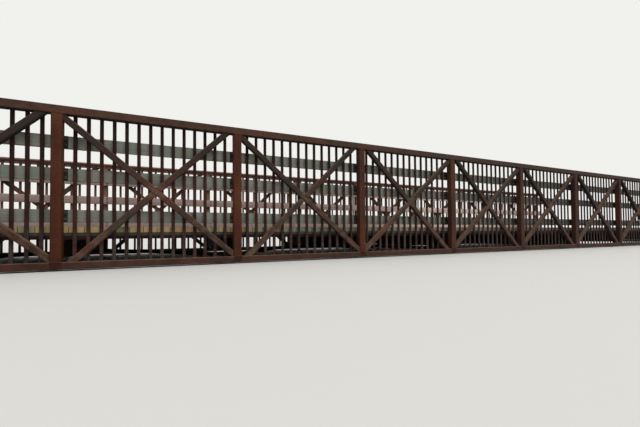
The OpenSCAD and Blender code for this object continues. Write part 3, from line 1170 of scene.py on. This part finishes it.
# at the end posts the outer bolts move in from the ends of the boards
limit = HALF_LENGTH - END_MARGIN
for truss, side in TRUSSES.items():
    nuts, domes = [], []
    for i in range(BAYS + 1):
        post = (i - BAYS / 2) * BAY
        for dx in (-BOLT_OFFSET, BOLT_OFFSET):
            x = min(max(post + dx, -limit), limit)
            for rise in BOARD_LEVELS.values():
                for dz in (-BOLT_RISE, BOLT_RISE):
                    z = DECK_TOP + rise + BOARD_HEIGHT / 2 + dz
                    nuts.append((x, side * PLATE_FACE, z))
                    domes.append(
                        (x, side * (BOARD_FACE - BOARD_THICKNESS), z)
                    )
    facing = (-side * math.pi / 2, 0, 0)
    bolts = joined(truss + "_rail_bolts", [
        grown_mesh("nuts", nuts, [], nut_tree, {
            "Nut radius": NUT_RADIUS, "Nut height": NUT_HEIGHT,
            "Washer radius": WASHER_RADIUS,
            "Washer thickness": WASHER_THICKNESS,
            "Shank radius": SHANK_RADIUS, "Shank rise": shank_rise,
            "Facing": facing,
        }),
        grown_mesh("domes", domes, [], dome_tree, {
            "Radius": DOME_RADIUS, "Height": DOME_HEIGHT, "Facing": facing,
        }),
    ])
    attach(bolts, "root")


# Deck steel
# Stringers, I-section floor beams and the square wind braces under them are
# the same bare steel, out of the light and the darkest of it.
under_steel = weathering_steel(
    "weathering_steel_under_deck", deep="#1A1411", body="#2A1E19",
    bloom="#3C261D", streak="#33221B", dust="#41362D", sunlit="#35241D",
)
for name in ("stringers", "floor_beams", "wind_braces"):
    dress(name, under_steel)


# Nailers
# Planks are screwed down to flat timber strips bolted along the stringers.
# They stay damp under the deck and have gone nearly black.
nailer_timber = weathered_timber(
    "damp_pine_nailers", lit_side_tone="#4A433D", shade_side_tone="#45403B",
    dark="#2C2723", algae="#3F443A", algae_share=0.4,
)
dress("nailers", nailer_timber)


# Deck planks
# Nominal three by six inch pine planks are screwed down across the bridge
# with narrow gaps. Their tops have greyed, and their sawn ends range from
# straw to orange and green with age.
PLANK_COUNT = 131
PLANK_GAP = 0.006
PLANK_THICKNESS = 0.064
PLANK_EASE = 0.004
PLANK_STEP = 0.25
PLANK_WANDER = 0.005
END_TONES = [
    (0.0, "#A39468"), (0.22, "#B09A6C"), (0.42, "#A88360"),
    (0.58, "#B89C76"), (0.74, "#9C966E"), (0.88, "#8F8B68"),
]

# how far under the deck's top a plank's growth rings are centred, how that
# varies, where along the bridge the ends turn mossy and then bare, and how
# far from the middle of the deck feet have worn it paler
HEART_DROP = 0.03
HEART_SPREAD = (-0.08, 0.10)
MOSSY_EDGE = (-2.2, -1.0)
BARE_EDGE = (0.2, 1.4)
WORN_EDGE = (1.2, 0.5)

# sawn pine left outdoors, matt: silvered tops with dark grain lines, and
# end grain whose rings and tone differ from plank to plank
deck_timber, tree = new_material("weathered_pine_deck")
place, spot, facing = surface_points(tree)
plank_pitch = 2 * HALF_LENGTH / PLANK_COUNT
plank_number = add(tree, "ShaderNodeMath", {"operation": "ADD"}, {
    0: spot.outputs[0], 1: HALF_LENGTH,
})
plank_number = add(tree, "ShaderNodeMath", {"operation": "DIVIDE"}, {
    0: plank_number.outputs[0], 1: plank_pitch,
})
plank_number = add(tree, "ShaderNodeMath", {"operation": "FLOOR"}, {
    0: plank_number.outputs[0],
})
plank_chance = add(
    tree, "ShaderNodeTexWhiteNoise", {"noise_dimensions": "1D"},
    {"W": plank_number.outputs[0]},
)
end_tone = add(tree, "ShaderNodeValToRGB", inputs={
    0: plank_chance.outputs[0],
})
ramp = end_tone.color_ramp
while len(ramp.elements) < len(END_TONES):
    ramp.elements.new(0.5)
for element, (position, tone) in zip(ramp.elements, END_TONES):
    element.position = position
    element.color = srgb(tone)

# growth rings about 5 mm apart on the ends
ring_centre = add(tree, "ShaderNodeMath", {"operation": "MULTIPLY_ADD"}, {
    0: plank_number.outputs[0], 1: -plank_pitch, 2: spot.outputs[0],
})
ring_across = add(tree, "ShaderNodeMath", {"operation": "ADD"}, {
    0: ring_centre.outputs[0], 1: HALF_LENGTH - plank_pitch / 2,
})
ring_depth = add(tree, "ShaderNodeMapRange", {"clamp": False}, {
    0: plank_chance.outputs[0], 3: HEART_SPREAD[0], 4: HEART_SPREAD[1],
})
ring_down = add(tree, "ShaderNodeMath", {"operation": "SUBTRACT"}, {
    0: spot.outputs[2], 1: DECK_TOP - HEART_DROP,
})
ring_down = add(tree, "ShaderNodeMath", {"operation": "ADD"}, {
    0: ring_down.outputs[0], 1: ring_depth.outputs[0],
})
ring_place = add(tree, "ShaderNodeCombineXYZ", inputs={
    0: ring_across.outputs[0], 1: ring_down.outputs[0],
})
rings = add(tree, "ShaderNodeTexWave", {
    "wave_type": "RINGS", "rings_direction": "Z",
}, {
    "Vector": ring_place.outputs[0], "Scale": 30.0, "Distortion": 2.0,
    "Detail": 2.0,
})
ring_shade = add(tree, "ShaderNodeMapRange", inputs={
    0: rings.outputs[1], 3: 0.66, 4: 1.02,
})
# moss greens the ends about mid-span, and further right they are bare grey
mossy = add(tree, "ShaderNodeMapRange", inputs={
    0: spot.outputs[0], 1: MOSSY_EDGE[0], 2: MOSSY_EDGE[1], 4: 0.8,
})
bare = add(tree, "ShaderNodeMapRange", inputs={
    0: spot.outputs[0], 1: BARE_EDGE[0], 2: BARE_EDGE[1],
})
aged_tone = add(tree, "ShaderNodeMix", {"data_type": "RGBA"}, {
    0: bare.outputs[0], 6: srgb("#6C7C70"), 7: srgb("#9A8C82"),
})
end_tone = add(tree, "ShaderNodeMix", {"data_type": "RGBA"}, {
    0: mossy.outputs[0], 6: end_tone.outputs[0], 7: aged_tone.outputs[2],
})
end_colour = add(tree, "ShaderNodeVectorMath", {"operation": "SCALE"}, {
    0: end_tone.outputs[2], "Scale": ring_shade.outputs[0],
})

# silvered tops with dark bands, worn paler along the middle of the walkway
bands, lines = grain(
    tree, place, band_stretch=(75.0, 1.5, 75.0),
    line_stretch=(320.0, 4.0, 320.0), distortion=0.5,
)
top_tone = add(tree, "ShaderNodeMix", {"data_type": "RGBA"}, {
    0: plank_chance.outputs[0], 6: srgb("#7B7467"), 7: srgb("#6A6355"),
})
band_mask = add(tree, "ShaderNodeMapRange", inputs={
    0: bands.outputs[0], 1: 0.38, 2: 0.66, 4: 0.6,
})
top_tone = add(tree, "ShaderNodeMix", {"data_type": "RGBA"}, {
    0: band_mask.outputs[0], 6: top_tone.outputs[2], 7: srgb("#514B40"),
})
worn = add(tree, "ShaderNodeMath", {"operation": "ABSOLUTE"}, {
    0: spot.outputs[1],
})
worn = add(tree, "ShaderNodeMapRange", inputs={
    0: worn.outputs[0], 1: WORN_EDGE[0], 2: WORN_EDGE[1], 4: 0.3,
})
top_tone = add(tree, "ShaderNodeMix", {"data_type": "RGBA"}, {
    0: worn.outputs[0], 6: top_tone.outputs[2], 7: srgb("#8D8576"),
})

# the sawn ends face along Y, the tops and edges don't
endward = add(tree, "ShaderNodeMath", {"operation": "ABSOLUTE"}, {
    0: facing.outputs[1],
})
endward = add(tree, "ShaderNodeMapRange", inputs={
    0: endward.outputs[0], 1: 0.5, 2: 0.8,
})
colour = add(tree, "ShaderNodeMix", {"data_type": "RGBA"}, {
    0: endward.outputs[0], 6: top_tone.outputs[2], 7: end_colour.outputs[0],
})
finish_timber(
    tree, colour, lines, sound=1.05, cracked=0.65, roughness=0.86
)

points, edges = [], []
for i in range(PLANK_COUNT):
    x = -HALF_LENGTH + (i + 0.5) * plank_pitch
    z = DECK_TOP - PLANK_THICKNESS / 2
    points.extend([(x, -BOARD_FACE, z), (x, BOARD_FACE, z)])
    edges.append((2 * i, 2 * i + 1))
planks = new_object("deck_plank_row", grown_mesh(
    "deck_plank_row", points, edges, bar_tree, {
        "Width": plank_pitch - PLANK_GAP, "Height": PLANK_THICKNESS,
        "Edge radius": PLANK_EASE, "Step": PLANK_STEP,
        "Wander": PLANK_WANDER, "Wanders per metre": WANDERS_PER_METRE,
        "Material": deck_timber,
    },
))
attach(planks, "root")
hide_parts("deck_planks")


# Deck screws
# Two steel screws hold each plank on every line of nailers. Only their low
# domed heads show, a little proud of the wood.
SCREW_RADIUS = 0.0055
SCREW_HEIGHT = 0.0028
SCREW_OFFSET = 0.035
SCREW_INSET = 0.065
NAILER_LINES = 5
NAILER_WIDTH = 0.089

points = []
line_pitch = (2 * BOARD_FACE - NAILER_WIDTH) / (NAILER_LINES - 1)
for i in range(PLANK_COUNT):
    x = -HALF_LENGTH + (i + 0.5) * plank_pitch
    for k in range(NAILER_LINES):
        y = -BOARD_FACE + NAILER_WIDTH / 2 + k * line_pitch
        if k in (0, NAILER_LINES - 1):
            y = math.copysign(BOARD_FACE - SCREW_INSET, y)
        for dx in (-SCREW_OFFSET, SCREW_OFFSET):
            points.append((x + dx, y, DECK_TOP))
screws = new_object("deck_screws", grown_mesh(
    "deck_screws", points, [], dome_tree, {
        "Radius": SCREW_RADIUS, "Height": SCREW_HEIGHT, "Facing": (0, 0, 0),
    },
))
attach(screws, "root")
